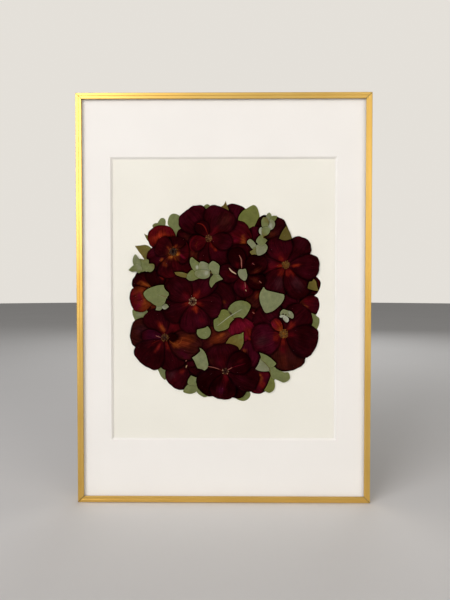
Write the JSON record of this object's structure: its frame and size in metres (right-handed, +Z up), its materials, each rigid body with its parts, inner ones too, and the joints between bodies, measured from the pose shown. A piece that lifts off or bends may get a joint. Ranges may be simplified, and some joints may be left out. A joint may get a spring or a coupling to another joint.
{
  "type": "pressed flower frame",
  "caption": "Slim mitred metal picture frame with a bevelled mat and glass over a round arrangement of pressed wine-red flowers and sage leaves on a card.",
  "frame": {"origin": "where the frame is held: the middle of the top rail's outer back strip, against the wall", "axes": "+X to the right seen from the front, +Z up the frame, +Y into the wall, so the front faces -Y"},
  "size_m": [0.51, 0.022, 0.71],
  "materials": {
    "frame_metal": "satin gold anodised",
    "hardware_steel": "zinc plated",
    "spring_steel": "blued",
    "glass": "clear float glass",
    "mat_board": "matt off-white board with a white core",
    "card": "matt ivory card",
    "hardboard": "raw hardboard",
    "wine_petals": "pressed wine-red petal",
    "dark_petals": "pressed black-red petal",
    "magenta_petals": "pressed magenta petal",
    "orange_red_petals": "pressed orange-red petal",
    "sage_leaf": "pressed sage-green leaf",
    "olive_leaf": "pressed olive leaf",
    "silver_leaf": "pressed silvery leaf"
  },
  "bodies": {
    "root": {"top_rail": "frame_metal", "bottom_rail": "frame_metal", "left_rail": "frame_metal", "right_rail": "frame_metal", "corner_angle_top_left": "hardware_steel", "corner_angle_top_right": "hardware_steel", "corner_angle_bottom_left": "hardware_steel", "corner_angle_bottom_right": "hardware_steel", "spring_clip_left_upper": "spring_steel", "spring_clip_left_lower": "spring_steel", "spring_clip_right_upper": "spring_steel", "spring_clip_right_lower": "spring_steel", "hanger_left": "hardware_steel", "hanger_right": "hardware_steel", "glass": "glass", "mat": "mat_board", "card": "card", "backboard": "hardboard", "rear_top_petal": "wine_petals", "small_top_leaf": "sage_leaf", "olive_tip": "olive_leaf", "top_right_leaf": "sage_leaf", "upper_right_bloom": "magenta_petals", "top_left_leaf": "sage_leaf", "leaf_behind_red_petal": "sage_leaf", "serrated_leaf": "olive_leaf", "red_petal": "orange_red_petals", "top_bloom": "wine_petals", "right_edge_bloom": "wine_petals", "right_edge_leaf": "sage_leaf", "left_edge_leaf": "sage_leaf", "far_left_bloom": "orange_red_petals", "lower_left_leaf": "sage_leaf", "middle_bloom": "magenta_petals", "low_right_bloom": "wine_petals", "lower_left_bloom": "wine_petals", "bottom_leaf": "sage_leaf", "amber_petal": "orange_red_petals", "left_bloom": "wine_petals", "left_centre_bloom": "wine_petals", "rose": "wine_petals", "right_bloom": "wine_petals", "lower_right_bloom": "wine_petals", "low_olive_leaf": "olive_leaf", "bottom_left_sprig": "sage_leaf", "bottom_bloom": "dark_petals", "upper_olive_leaf": "olive_leaf", "three_lobed_leaf": "sage_leaf", "right_olive_leaf": "olive_leaf", "white_leaf": "silver_leaf", "triangular_leaf": "sage_leaf", "two_lobed_leaf": "sage_leaf", "round_leaf": "sage_leaf", "kite_leaf": "sage_leaf", "lower_right_sprig": "sage_leaf", "large_pale_leaf": "sage_leaf", "centre_bloom": "dark_petals", "silver_sprig": "silver_leaf", "centre_sprig": "sage_leaf", "leaf_on_flower": "silver_leaf"}
  },
  "joints": []
}
